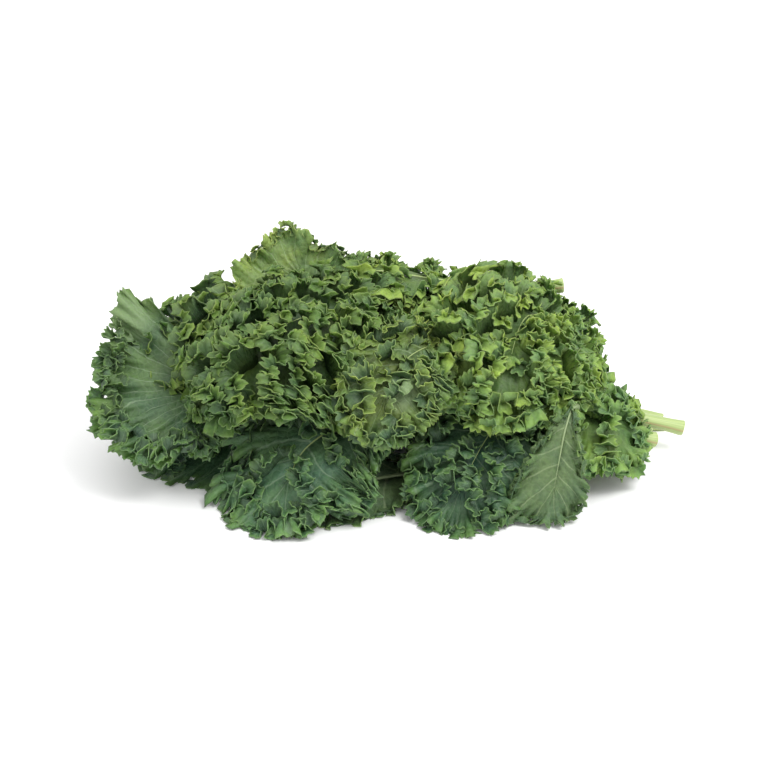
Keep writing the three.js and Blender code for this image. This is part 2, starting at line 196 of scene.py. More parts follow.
def rib_radius(leaf, x):
    """The radius of the stalk and midrib: thinner along the blade, and thinnest where it ends."""
    length, reach = leaf["line"]["length"], leaf["blade"] / 2
    end = length - 0.54 * reach
    foot = end - 1.46 * reach
    full = leaf.get("stalk_share", 1) * (STALK_RADIUS - STALK_TAPER * x / length)
    full = full * (1 - (1 - leaf.get("rib_share", 0.5)) * smooth(x, foot - 15, end - 1.2 * reach))
    return full * (1 - 0.6 * smooth(x, end - 0.9 * reach, end))


def blade(leaf, cols, levels):
    """The leaf's blade: ruffled, crimped and toothed towards its margin."""
    seed = leaf["seed"]
    u = np.linspace(0, 1, cols + 1)[:, None]
    v = np.array(levels, float)[None, :]
    angle = (1 - 2 * u) * BASE_ANGLE
    reach = leaf["blade"] / 2
    x, y = outline(leaf, angle)
    root = leaf["line"]["length"] - reach + reach * (-1 + leaf.get("fan", 0.72) * (1 + np.cos(angle)))
    off = 0.6 * rib_radius(leaf, root) * np.clip(np.sin(angle) * 3, -1, 1)
    bays = 0.07 * np.cos(11 * angle + seed) + 0.035 * np.cos(27 * angle + 3 * seed)
    r = v * (1 + bays * v ** 2)
    p = np.stack([root + (x - root) * r, off + (y - off) * r, 0 * r], -1)
    run = edge_run(p)
    beat = run * TAU / WAVE_LENGTH + 1.2 * uneven(run, 37, seed)
    deep = leaf.get("wave", 1) * (0.14 * leaf["width"] + 1.5)
    p = ruffle(p, deep * smooth(v, 0.4, 1) ** 1.2 * np.sin(beat),
               -0.42 * deep * smooth(v, 0.5, 1) ** 1.3 * np.sin(2 * beat))
    for size, length, start in leaf["crimps"]:
        run = edge_run(p)
        beat = run * TAU / length + 1.9 * uneven(run, 23, seed) + 0.8 * uneven(run, 9.7, 3 * seed)
        grow_out = size * smooth(v, start, 1.05) ** 1.1
        p = ruffle(p, grow_out * np.sin(beat), -0.4 * grow_out * np.sin(2 * beat))
    p = teeth(p, v, leaf["tooth"], BLADE_TOOTH_SPACING, seed)
    blister = 0.5 * np.sin(30 * u * TAU + 9 * v + seed)
    p[..., 2] += blister * smooth(v, 0.05, 0.4) * (1 - smooth(v, 0.5, 0.9))
    return sheet(leaf["name"] + "_blade", lay(leaf["line"], p), leaf["skins"])


def strip(leaf, k, path, height, lean, cols, lobe):
    """A strip that stands on the blade along a path, its top parted into flaps that lie over to one side
    and the other. A height below 0 stands on the under face."""
    face = math.copysign(1, height)
    height = abs(height)
    v = np.array(STRIP_LEVELS)[None, :]
    u = np.linspace(0, 1, cols + 1)[:, None]
    run = np.r_[0, np.cumsum(np.linalg.norm(np.diff(path, axis=0), axis=1))]
    s = u * run[-1]
    at = np.stack([np.interp(s[:, 0], run, path[:, i]) for i in range(2)], 1)
    ahead = unit(np.gradient(at, axis=0))
    left = np.stack([-ahead[:, 1], ahead[:, 0]], 1)
    beat = s * TAU / lobe + TAU * pick(k + 7) + 1.3 * uneven(s, 7.5, 9 * pick(k + 11))
    fan = np.abs(np.sin(beat)) ** 0.5
    full = height * (0.5 + 0.5 * np.sin(math.pi * u ** 0.8)) * (1 + 0.2 * uneven(s, 5.3, 7 * pick(k + 5)))
    flop = leaf["flop"] * (1 + 0.25 * uneven(s, 6.1, 6 * pick(k + 19)))
    tall = full - FLAP_NOTCH * flop * (1 - fan) * smooth(u, 0, 0.1) * smooth(1 - u, 0, 0.1)
    over = FLAP_TURN * np.tanh(2.1 * np.sin(beat)) * (0.8 + 0.35 * uneven(s, 4.7, 8 * pick(k + 17)))
    steps = np.diff(v, axis=1)
    mid = (v[:, 1:] + v[:, :-1]) / 2
    bend_from = np.clip((full - flop) / np.maximum(tall, 1), 0.2, 0.97)
    tilt = lean * mid + over * smooth(mid, bend_from - 0.1, bend_from + 0.16)
    z = np.concatenate([0 * u, np.cumsum(tall * steps * np.cos(tilt), axis=1)], 1)
    z = z - FRILL_ROOT_DEPTH * (1 - v)
    w = np.concatenate([0 * u, np.cumsum(tall * steps * np.sin(tilt), axis=1)], 1)
    back = -0.24 * lobe * smooth(v, 0.3, 1) * np.sin(2 * beat)
    p = np.stack([at[:, :1] + ahead[:, :1] * back + left[:, :1] * w,
                  at[:, 1:] + ahead[:, 1:] * back + left[:, 1:] * w, face * z], -1)
    run = edge_run(p)
    beat = run * TAU / RUFFLE_LENGTH + 7 * pick(k + 13) + 1.5 * uneven(run, 6.1, k)
    grown = RUFFLE_HEIGHT * smooth(v, 0.35, 1.05)
    p = ruffle(p, grown * np.sin(beat), -0.35 * grown * np.sin(2 * beat))
    p = teeth(p, v, leaf["tooth"], FRILL_TOOTH_SPACING, k)
    return sheet(leaf["name"] + "_frill", lay(leaf["line"], p), leaf["skins"])


def frills(leaf):
    """The frills on both sides of the midrib, each leaning and standing a little differently."""
    made = []
    reach = leaf["blade"] / 2
    centre = leaf["line"]["length"] - reach
    t = np.linspace(0, 1, 30)
    k = 40 * leaf["number"]
    for side in (-1, 1):
        for i in range(leaf["frills"]):
            share = (i + 0.5) / leaf["frills"]
            k += 1
            tip_x, tip_y = outline(leaf, side * math.radians(155 - 148 * share))
            start = np.array([centre - reach + 8 + share * (2 * reach - 46), 3 * side])
            end = np.array([centre + (tip_x - centre) * 0.94, tip_y * 0.92])
            ahead = unit(end - start)
            far = t * np.linalg.norm(end - start)
            wander = 5 * uneven(far, 9, 5 * pick(k + 3)) + 3 * uneven(far, 4.1, 9 * pick(k + 4))
            wander = (wander * np.sin(math.pi * t))[:, None] * np.array([-ahead[1], ahead[0]])
            path = start + t[:, None] * (end - start) + wander
            height = leaf["height"] * (0.9 + 0.3 * pick(k + 31)) * leaf.get("sides", (1, 1))[side > 0]
            lean = 0.5 * (pick(k) - 0.3)
            made.append(strip(leaf, k, path, height, lean, leaf["frill_cols"], leaf["lobe"]))
    return made


# the side of the leaf, and the angles round the blade from which and to which each run of curls goes
HEM_RUNS = ((-1, 163, 112), (-1, 116, 62), (-1, 66, 12),
            (1, 163, 112), (1, 116, 62), (1, 66, 12), (1, 18, -18))


def hems(leaf):
    """The curls that crowd along the margin, in a few runs with their own place and lean."""
    made = []
    reach = leaf["blade"] / 2
    centre = leaf["line"]["length"] - reach
    k = 40 * leaf["number"] + 20
    for share, height, cols in leaf["hems"]:
        for side, first, last in leaf.get("hem_runs", HEM_RUNS):
            k += 1
            angle = side * np.radians(np.linspace(first, last, 40))
            x, y = outline(leaf, angle)
            inward = share + 0.04 * np.sin(9 * angle + 6 * pick(k))
            path = np.stack([centre + (x - centre) * inward, y * inward], 1)
            lean = 0.7 * side * pick(k + 2)
            made.append(strip(leaf, k, path, height, lean, cols, leaf.get("hem_lobe", HEM_LOBE)))
    return made


def stalk(leaf, material, rings=70, ridges=5):
    """The stalk and midrib: a ridged round drawn out along the leaf, cut flat at its foot."""
    reach = leaf["blade"] / 2
    end = leaf["line"]["length"] - reach + 0.46 * reach
    x = np.r_[0, 0, 0.6, np.linspace(2.5, end, rings), end]
    full = rib_radius(leaf, x)
    r = full * np.r_[0, 0.86, 1, np.ones(rings), 0]
    flare = 1 + 0.22 * np.exp(-x / 9)
    a = np.linspace(0, TAU, 17)[:, None]
    ridge = 1 + 0.05 * np.cos(ridges * a) * (x > 1)
    wide = r * flare * ridge * np.cos(a)
    high = 0.9 * r * flare * ridge * np.sin(a) - 0.4 * full + 0 * a
    p = lay(leaf["line"], np.stack([x + 0 * a, wide, high], -1), lying=False)
    p[..., 2] = np.maximum(p[..., 2], 0.1)
    piece = sheet(leaf["name"] + "_stalk", p, [material])
    bpy.ops.object.mode_set(mode="EDIT")
    bpy.ops.mesh.select_all(action="SELECT")
    bpy.ops.mesh.remove_doubles(threshold=0.00001)
    bpy.ops.mesh.normals_make_consistent(inside=False)
    bpy.ops.object.mode_set(mode="OBJECT")
    return piece


def grow(leaf):
    """One leaf: its sheets are joined and given their thickness, then its stalk joins them."""
    leaf["line"] = midrib_line(leaf["spine"], leaf["faces"], leaf["bend"])
    leaf["seed"] = 1.7 * leaf["number"]
    sheets = [blade(leaf, leaf["blade_cols"], leaf["levels"])] + frills(leaf) + hems(leaf)
    bpy.ops.object.select_all(action="DESELECT")
    for piece in sheets:
        piece.select_set(True)
    bpy.context.view_layer.objects.active = sheets[0]
    bpy.ops.object.join()
    piece = bpy.context.object
    bpy.ops.object.shade_smooth()
    wall = piece.modifiers.new("wall", "SOLIDIFY")
    wall.thickness = TISSUE * MM
    wall.offset = 0
    wall.material_offset = 1
    bpy.ops.object.modifier_apply(modifier="wall")
    rib = stalk(leaf, leaf["rib"])
    bpy.ops.object.shade_smooth()
    bpy.ops.object.select_all(action="DESELECT")
    rib.select_set(True)
    piece.select_set(True)
    bpy.context.view_layer.objects.active = piece
    bpy.ops.object.join()
    piece.name = leaf["name"] + "_tissue"
    piece.data.name = piece.name
    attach(piece, "root")
    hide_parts(leaf["name"])
    return piece


# how often the patterns of the skin repeat in a metre
MOTTLE_SCALE = 55
FINE_SCALE = 420
NET_SCALE = 210
# where each colour of the skin sits on the way from the root, 0, to the rim, 1
BODY_AT = 0.55
EDGE_FROM = 0.86
EDGE_TO = 0.93
DULL_TINT = (0.74, 0.82, 0.88)
# painted light and shade: the skin is bluer and a little darker low in the heap, and yellower and a
# little lighter on top of it, where the light falls from above
LOW, LOW_SHADE_TINT = 0.02, (0.92, 1.0, 1.0)
HIGH, HIGH_LIGHT_TINT = 0.115, (1.06, 1.02, 0.78)
VEIN_WANDER = 0.035
VEIN_WIDTH_AT_ROOT = 0.1
VEIN_WIDTH_AT_RIM = 0.025
NET_WIDTH = 0.11
NET_SHARE = 0.22                   # how strong the net is beside the side veins
VEIN_DEPTH = 0.8
BLISTER_HEIGHT = 1.5
SKIN_RELIEF = 0.0008


def tissue(name, deep, body, edge, rim, vein, veins=22, vein_strength=0.5, gloss=0.5,
           warm=(1.2, 1.1, 0.78)):
    """Leaf skin: colour by the way from root to rim, with painted shade at the root and a partly painted
    highlight at the rim, painted light and shade by height, side veins, mottling and fine blisters.
    """
    m = bpy.data.materials.new(name)
    m.use_nodes = True
    nodes, links = m.node_tree.nodes, m.node_tree.links
    skin = nodes["Principled BSDF"]
    skin.inputs["Specular IOR Level"].default_value = 0.3
    skin.inputs["Subsurface Weight"].default_value = 0.15
    skin.inputs["Subsurface Radius"].default_value = (1.0, 1.6, 0.5)
    skin.inputs["Subsurface Scale"].default_value = 0.0012
    uv = nodes.new("ShaderNodeUVMap")
    uv.uv_map = "UVMap"
    split = nodes.new("ShaderNodeSeparateXYZ")
    links.new(uv.outputs["UV"], split.inputs[0])
    place = nodes.new("ShaderNodeTexCoord")
    mottle = nodes.new("ShaderNodeTexNoise")
    mottle.inputs["Scale"].default_value = MOTTLE_SCALE
    mottle.inputs["Detail"].default_value = 3
    links.new(place.outputs["Object"], mottle.inputs["Vector"])
    fine = nodes.new("ShaderNodeTexNoise")
    fine.inputs["Scale"].default_value = FINE_SCALE
    fine.inputs["Detail"].default_value = 4
    links.new(place.outputs["Object"], fine.inputs["Vector"])

    # the colours from the root to the rim; on most skins the colour at the root is darker, as painted
    # shade where the tissue lies deep among the curls, and the pale rim is partly the margin's own paler
    # colour and partly painted highlight
    ramp = nodes.new("ShaderNodeValToRGB")
    stops = ramp.color_ramp.elements
    stops[0].position = 0.0
    stops[0].color = (*deep, 1)
    stops[1].position = 1.0
    stops[1].color = (*rim, 1)
    for at, colour in ((BODY_AT, body), (EDGE_FROM, edge), (EDGE_TO, edge)):
        stops.new(at).color = (*colour, 1)
    links.new(split.outputs["Y"], ramp.inputs["Fac"])

    # mottled
    tint = nodes.new("ShaderNodeValToRGB")
    tint.color_ramp.elements[0].position = 0.36
    tint.color_ramp.elements[0].color = (*DULL_TINT, 1)
    tint.color_ramp.elements[1].position = 0.66
    tint.color_ramp.elements[1].color = (*warm, 1)
    links.new(mottle.outputs["Fac"], tint.inputs["Fac"])
    tinted = nodes.new("ShaderNodeMix")
    tinted.data_type = "RGBA"
    tinted.blend_type = "MULTIPLY"
    tinted.inputs["Factor"].default_value = 1
    links.new(ramp.outputs["Color"], tinted.inputs["A"])
    links.new(tint.outputs["Color"], tinted.inputs["B"])

    # painted light and shade: tinted by height in the heap, lighter and yellower on top and bluer low
    # down
    rise = nodes.new("ShaderNodeSeparateXYZ")
    links.new(place.outputs["Object"], rise.inputs[0])
    lit_height = nodes.new("ShaderNodeMapRange")
    lit_height.inputs["From Min"].default_value = LOW
    lit_height.inputs["From Max"].default_value = HIGH
    links.new(rise.outputs["Z"], lit_height.inputs["Value"])
    painted_light_tint = nodes.new("ShaderNodeValToRGB")
    painted_light_tint.color_ramp.elements[0].color = (*LOW_SHADE_TINT, 1)
    painted_light_tint.color_ramp.elements[1].color = (*HIGH_LIGHT_TINT, 1)
    links.new(lit_height.outputs["Result"], painted_light_tint.inputs["Fac"])
    height_lit = nodes.new("ShaderNodeMix")
    height_lit.data_type = "RGBA"
    height_lit.blend_type = "MULTIPLY"
    height_lit.inputs["Factor"].default_value = 1
    links.new(tinted.outputs["Result"], height_lit.inputs["A"])
    links.new(painted_light_tint.outputs["Color"], height_lit.inputs["B"])

    # finely speckled
    shade = nodes.new("ShaderNodeMapRange")
    shade.inputs["From Min"].default_value = 0.3
    shade.inputs["From Max"].default_value = 0.7
    shade.inputs["To Min"].default_value = 0.8
    shade.inputs["To Max"].default_value = 1.15
    links.new(fine.outputs["Fac"], shade.inputs["Value"])
    shaded = nodes.new("ShaderNodeVectorMath")
    shaded.operation = "SCALE"
    links.new(height_lit.outputs["Result"], shaded.inputs["Vector"])
    links.new(shade.outputs["Result"], shaded.inputs["Scale"])

    # side veins run from the midrib to the margin, each fading as it goes
    bent = nodes.new("ShaderNodeMath")
    bent.operation = "MULTIPLY_ADD"
    links.new(mottle.outputs["Fac"], bent.inputs[0])
    bent.inputs[1].default_value = VEIN_WANDER
    links.new(split.outputs["X"], bent.inputs[2])
    count = nodes.new("ShaderNodeMath")
    count.operation = "MULTIPLY"
    links.new(bent.outputs[0], count.inputs[0])
    count.inputs[1].default_value = veins
    swing = nodes.new("ShaderNodeMath")
    swing.operation = "PINGPONG"
    links.new(count.outputs[0], swing.inputs[0])
    swing.inputs[1].default_value = 0.5
    wide = nodes.new("ShaderNodeMapRange")
    wide.inputs["To Min"].default_value = VEIN_WIDTH_AT_ROOT
    wide.inputs["To Max"].default_value = VEIN_WIDTH_AT_RIM
    links.new(split.outputs["Y"], wide.inputs["Value"])
    line = nodes.new("ShaderNodeMapRange")
    line.interpolation_type = "SMOOTHSTEP"
    line.inputs["From Min"].default_value = 0
    line.inputs["To Min"].default_value = vein_strength
    line.inputs["To Max"].default_value = 0
    links.new(swing.outputs[0], line.inputs["Value"])
    links.new(wide.outputs["Result"], line.inputs["From Max"])

    # a net of veinlets between them
    net = nodes.new("ShaderNodeTexVoronoi")
    net.feature = "DISTANCE_TO_EDGE"
    net.inputs["Scale"].default_value = NET_SCALE
    links.new(place.outputs["Object"], net.inputs["Vector"])
    thread = nodes.new("ShaderNodeMapRange")
    thread.interpolation_type = "SMOOTHSTEP"
    thread.inputs["From Max"].default_value = NET_WIDTH
    thread.inputs["To Min"].default_value = NET_SHARE * vein_strength
    thread.inputs["To Max"].default_value = 0
    links.new(net.outputs["Distance"], thread.inputs["Value"])
    both = nodes.new("ShaderNodeMath")
    both.operation = "ADD"
    both.use_clamp = True
    links.new(line.outputs["Result"], both.inputs[0])
    links.new(thread.outputs["Result"], both.inputs[1])
    veined = nodes.new("ShaderNodeMix")
    veined.data_type = "RGBA"
    links.new(both.outputs[0], veined.inputs["Factor"])
    links.new(shaded.outputs["Vector"], veined.inputs["A"])
    veined.inputs["B"].default_value = (*vein, 1)
    links.new(veined.outputs["Result"], skin.inputs["Base Color"])

    rough = nodes.new("ShaderNodeMapRange")
    rough.inputs["To Min"].default_value = gloss - 0.08
    rough.inputs["To Max"].default_value = gloss + 0.12
    links.new(fine.outputs["Fac"], rough.inputs["Value"])
    links.new(rough.outputs["Result"], skin.inputs["Roughness"])

    # the veins lie sunk in the skin, and between them it is blistered
    lift = nodes.new("ShaderNodeMath")
    lift.operation = "MULTIPLY_ADD"
    links.new(both.outputs[0], lift.inputs[0])
    lift.inputs[1].default_value = -VEIN_DEPTH
    links.new(fine.outputs["Fac"], lift.inputs[2])
    bump = nodes.new("ShaderNodeBump")
    bump.inputs["Strength"].default_value = 0.5
    bump.inputs["Distance"].default_value = SKIN_RELIEF
    puff = nodes.new("ShaderNodeMath")
    puff.operation = "MULTIPLY_ADD"
    links.new(net.outputs["Distance"], puff.inputs[0])
    puff.inputs[1].default_value = BLISTER_HEIGHT
    links.new(lift.outputs[0], puff.inputs[2])
    links.new(puff.outputs[0], bump.inputs["Height"])
    links.new(bump.outputs["Normal"], skin.inputs["Normal"])
    return m


FIBRE_STRETCH = (26, 5, 1)
CUT_BROWN_TO = 0.018               # the cut end is brown so far along the stalk,
CUT_GONE_FROM = 0.055              # and green from here on


def rib_flesh(name, pale, green, cut):
    """Stalk flesh: pale green with long fibres, brownish where it was cut."""
    m = bpy.data.materials.new(name)
    m.use_nodes = True
    nodes, links = m.node_tree.nodes, m.node_tree.links
    skin = nodes["Principled BSDF"]
    skin.inputs["Specular IOR Level"].default_value = 0.4
    uv = nodes.new("ShaderNodeUVMap")
    uv.uv_map = "UVMap"
    split = nodes.new("ShaderNodeSeparateXYZ")
    links.new(uv.outputs["UV"], split.inputs[0])
    stretch = nodes.new("ShaderNodeMapping")
    stretch.inputs["Scale"].default_value = FIBRE_STRETCH
    links.new(uv.outputs["UV"], stretch.inputs["Vector"])
    fibre = nodes.new("ShaderNodeTexNoise")
    fibre.inputs["Scale"].default_value = 1.6
    fibre.inputs["Detail"].default_value = 5
    links.new(stretch.outputs["Vector"], fibre.inputs["Vector"])
    flesh = nodes.new("ShaderNodeValToRGB")
    flesh.color_ramp.elements[0].position = 0.32
    flesh.color_ramp.elements[0].color = (*green, 1)
    flesh.color_ramp.elements[1].position = 0.62
    flesh.color_ramp.elements[1].color = (*pale, 1)
    links.new(fibre.outputs["Fac"], flesh.inputs["Fac"])
    end = nodes.new("ShaderNodeValToRGB")
    end.color_ramp.elements[0].position = CUT_BROWN_TO
    end.color_ramp.elements[0].color = (1, 1, 1, 1)
    end.color_ramp.elements[1].position = CUT_GONE_FROM
    end.color_ramp.elements[1].color = (0, 0, 0, 1)
    links.new(split.outputs["X"], end.inputs["Fac"])
    both = nodes.new("ShaderNodeMix")
    both.data_type = "RGBA"
    links.new(end.outputs["Color"], both.inputs["Factor"])
    links.new(flesh.outputs["Color"], both.inputs["A"])
    both.inputs["B"].default_value = (*cut, 1)
    links.new(both.outputs["Result"], skin.inputs["Base Color"])
    skin.inputs["Roughness"].default_value = 0.42
    bump = nodes.new("ShaderNodeBump")
    bump.inputs["Strength"].default_value = 0.35
    bump.inputs["Distance"].default_value = 0.0006
    links.new(fibre.outputs["Fac"], bump.inputs["Height"])
    links.new(bump.outputs["Normal"], skin.inputs["Normal"])
    return m


stalk_flesh = rib_flesh("stalk_flesh", (0.42, 0.50, 0.20), (0.24, 0.34, 0.12), (0.36, 0.30, 0.14))
dome_skin = tissue("dome_skin", (0.043, 0.082, 0.027), (0.071, 0.132, 0.035), (0.105, 0.190, 0.046),
                   (0.165, 0.247, 0.101), (0.12, 0.20, 0.09), vein_strength=0.25)
dome_under = tissue("dome_under", (0.044, 0.083, 0.035), (0.071, 0.128, 0.053), (0.102, 0.175, 0.061),
                    (0.165, 0.247, 0.101), (0.14, 0.20, 0.11), vein_strength=0.25,
                    warm=(1.15, 1.08, 0.85))
CLOSE_LEVELS = (0, 0.22, 0.42, 0.58, 0.71, 0.82, 0.91, 0.97, 1)

grow(dict(name="left_dome_leaf", number=3, slot="curly_leaf",
          spine=[(193, 16, 20), (140, 26, 30), (60, 42, 56), (0, 38, 87), (-48, 8, 98), (-90, -26, 81),
                 (-102, -42, 50)],
          faces=[UP, UP, (-0.1, -0.25, 0.95), (-0.4, -0.55, 0.7), (-0.8, -0.6, 0.1)],
          bend=(-1 / 90, -1 / 66),
          blade=188, width=71,
          frills=12, height=23, lobe=10.5, flop=6.2, frill_cols=222, sides=(0.78, 1),
          hems=((0.95, 13, 140), (0.8, 15, 80), (0.86, -11, 80)), hem_lobe=10.5,
          crimps=((4.0, 11, 0.55), (1.9, 5.2, 0.7)), tooth=2.4, wave=0.6,
          blade_cols=420, levels=CLOSE_LEVELS,
          rib_share=0.35,
          skins=[dome_skin, dome_under], rib=stalk_flesh))
bright_skin = tissue("bright_skin", (0.062, 0.113, 0.037), (0.148, 0.240, 0.061), (0.211, 0.327, 0.081),
                     (0.185, 0.266, 0.108), (0.16, 0.24, 0.10), vein_strength=0.25)
bright_under = tissue("bright_under", (0.058, 0.105, 0.040), (0.107, 0.187, 0.072), (0.150, 0.251, 0.083),
                      (0.176, 0.257, 0.108), (0.16, 0.22, 0.11), vein_strength=0.25,
                      warm=(1.15, 1.08, 0.85))
grow(dict(name="right_dome_leaf", number=4, slot="curly_leaf",
          spine=[(176, 30, 9), (158, 38, 14), (141, 50, 34), (129, 52, 62), (92, 22, 94), (75, -24, 82),
                 (69, -48, 50)],
          faces=[UP, (0.3, 0, 0.9), (0.3, -0.1, 0.9), (0.1, -0.5, 0.8), (0, -0.9, 0.3)],
          bend=(-1 / 90, -1 / 64),
          blade=166, width=69,
          frills=11, height=22, lobe=10.5, flop=6.2, frill_cols=222, sides=(1, 0.62),
          hems=((0.95, 13, 130), (0.8, 15, 70), (0.86, -11, 80)), hem_lobe=10.5,
          crimps=((4.0, 11, 0.55), (1.9, 5.2, 0.7)), tooth=2.4, wave=0.6,
          blade_cols=400, levels=CLOSE_LEVELS,
          rib_share=0.3,
          skins=[bright_skin, bright_under], rib=stalk_flesh))

# The curly leaves round and behind the domes, with lower and fewer frills than theirs.
# The same tissue on thinner stalks, tucked under the domes and held by their weight.
# The centre leaf hangs down the valley between the domes, lighter than the rest.
curly_skin = tissue("curly_skin", (0.042, 0.081, 0.031), (0.085, 0.149, 0.044), (0.127, 0.216, 0.055),
                    (0.153, 0.230, 0.085), (0.16, 0.24, 0.11), vein_strength=0.4)
curly_under = tissue("curly_under", (0.039, 0.075, 0.044), (0.076, 0.129, 0.060), (0.103, 0.167, 0.069),
                     (0.153, 0.230, 0.085), (0.18, 0.25, 0.13), vein_strength=0.4,
                     warm=(1.12, 1.08, 0.88))
fresh_skin = tissue("fresh_skin", (0.093, 0.140, 0.051), (0.111, 0.174, 0.053), (0.128, 0.208, 0.053),
                    (0.214, 0.297, 0.113), (0.204, 0.281, 0.136), vein_strength=0.6)
SMALL_CRIMPS = ((3.0, 11, 0.5), (1.3, 5.2, 0.7))


def bleach(material, middle, inner, outer, share, colour):
    """A paler patch on a skin, full out to the inner distance from its middle and gone at the outer."""
    nodes, links = material.node_tree.nodes, material.node_tree.links
    skin = nodes["Principled BSDF"]
    before = skin.inputs["Base Color"].links[0].from_socket
    place = nodes.new("ShaderNodeTexCoord")
    away = nodes.new("ShaderNodeVectorMath")
    away.operation = "DISTANCE"
    links.new(place.outputs["Object"], away.inputs[0])
    away.inputs[1].default_value = middle
    near = nodes.new("ShaderNodeMapRange")
    near.interpolation_type = "SMOOTHSTEP"
    near.inputs["From Min"].default_value = inner
    near.inputs["From Max"].default_value = outer
    near.inputs["To Min"].default_value = share
    near.inputs["To Max"].default_value = 0
    links.new(away.outputs["Value"], near.inputs["Value"])
    paler = nodes.new("ShaderNodeMix")
    paler.data_type = "RGBA"
    links.new(near.outputs["Result"], paler.inputs["Factor"])
    links.new(before, paler.inputs["A"])
    paler.inputs["B"].default_value = (*colour, 1)
    links.new(paler.outputs["Result"], skin.inputs["Base Color"])


bleach(fresh_skin, (0.003, -0.071, 0.0755), 0.006, 0.016, 0.6, (0.21, 0.29, 0.14))

grow(dict(name="centre_leaf", number=1, slot="curly_leaf",
          spine=[(150, 14, 30), (90, 10, 52), (44, -4, 84), (16, -28, 88), (2, -50, 72), (-4, -64, 48)],
          faces=[UP, UP, (0, -0.4, 0.9), (0, -0.9, 0.4)], bend=(-1 / 90, -1 / 80),
          blade=98, width=30,
          frills=4, height=12, lobe=11.5, flop=6.5, frill_cols=130,
          hems=((0.92, 10, 90),), hem_lobe=11,
          crimps=SMALL_CRIMPS, tooth=2.3, wave=0.7,
          blade_cols=300, levels=CLOSE_LEVELS,
          rib_share=0.22,
          skins=[fresh_skin, curly_under], rib=stalk_flesh))
grow(dict(name="right_leaf", number=8, slot="curly_leaf",
          spine=[(20, 26, 34), (84, 24, 44), (118, 0, 45), (140, -20, 35), (152, -32, 14)],
          faces=[UP, UP, (0.3, -0.5, 0.8), (0.7, -0.5, 0.4)], bend=(-1 / 90, -1 / 60),
          blade=108, width=43,
          frills=4, height=13, lobe=11.5, flop=6.5, frill_cols=130,
          hems=((0.93, 11, 95),), hem_lobe=11,
          crimps=SMALL_CRIMPS, tooth=2.3, wave=0.8,
          blade_cols=300, levels=CLOSE_LEVELS,
          skins=[bright_skin, bright_under], rib=stalk_flesh))
grow(dict(name="top_centre_leaf", number=9, slot="curly_leaf",
          spine=[(120, 84, 92), (78, 84, 88), (30, 82, 96), (-10, 78, 102), (-40, 80, 86), (-60, 88, 60)],
          faces=[UP, (0, 0.1, 1), (0, 0.1, 1), (-0.6, 0.3, 0.7)], bend=(-1 / 80, -1 / 80),
          blade=130, width=48,
          frills=4, height=12, lobe=11.5, flop=6.5, frill_cols=110,
          hems=((0.92, 11, 85),), hem_lobe=11,
          crimps=SMALL_CRIMPS, tooth=2.3,
          blade_cols=300, levels=CLOSE_LEVELS,
          skins=[bright_skin, bright_under], rib=stalk_flesh))
grow(dict(name="back_left_leaf", number=10, slot="curly_leaf",
          spine=[(130, 62, 12), (30, 64, 40), (-60, 56, 80), (-106, 48, 88), (-142, 38, 66),
                 (-152, 34, 40)],
          faces=[UP, UP, (-0.2, 0, 1), (-0.8, -0.2, 0.5)], bend=(-1 / 80, -1 / 70),
          blade=140, width=56,
          frills=5, height=19, lobe=11.5, flop=6.5, frill_cols=110,
          hems=((0.93, 15, 90),), hem_lobe=11,
          crimps=SMALL_CRIMPS, tooth=2.3,
          blade_cols=320, levels=CLOSE_LEVELS,
          skins=[curly_skin, curly_under], rib=stalk_flesh))
grow(dict(name="back_right_leaf", number=11, slot="curly_leaf",
          spine=[(186, 46, 10), (144, 60, 20), (116, 78, 28), (98, 95, 16), (94, 104, -6)],
          faces=[UP, (0, 0.4, 0.9), (0, 0.9, 0.3)], bend=(-1 / 80, -1 / 70),
          blade=112, width=46,
          frills=4, height=9, lobe=11.5, flop=6.5, frill_cols=90,
          hems=((0.85, 8, 60),), hem_lobe=11,
          crimps=SMALL_CRIMPS, tooth=2.3,
          blade_cols=260, levels=CLOSE_LEVELS,
          skins=[curly_skin, curly_under], rib=stalk_flesh))

# The top left leaf stands up behind the left dome, its upper face to the front.
# Its tissue is painted paler and yellower than the others, as painted light where the light falls full on
# its face, with its midrib showing, a crinkled margin and no frills inside it.
painted_lit_skin = tissue("painted_lit_skin", (0.136, 0.205, 0.108), (0.163, 0.251, 0.111), (0.181, 0.288, 0.110),
                    (0.275, 0.361, 0.160), (0.30, 0.40, 0.20), vein_strength=0.55)
grow(dict(name="top_left_leaf", number=2, slot="curly_leaf",
          spine=[(120, 84, 14), (40, 78, 38), (-30, 70, 80), (-56, 76, 104), (-64, 82, 126)],
          faces=[UP, (0, 0, 1), (-0.2, -0.5, 0.8), (0, -0.9, 0.4)], bend=(1 / 90, 1 / 140),
          blade=112, width=52, flare=-0.25, spurs=((0, 0.1, 16), (-80, -0.3, 36), (62, 0.16, 30)),
          frills=0, flop=7,
          hems=((0.96, 5, 100),),
          crimps=((2.0, 11, 0.7), (1.2, 5.2, 0.8)), tooth=1.9, wave=0.45,
          blade_cols=460, levels=CLOSE_LEVELS,
          skins=[painted_lit_skin, curly_under], rib=stalk_flesh))

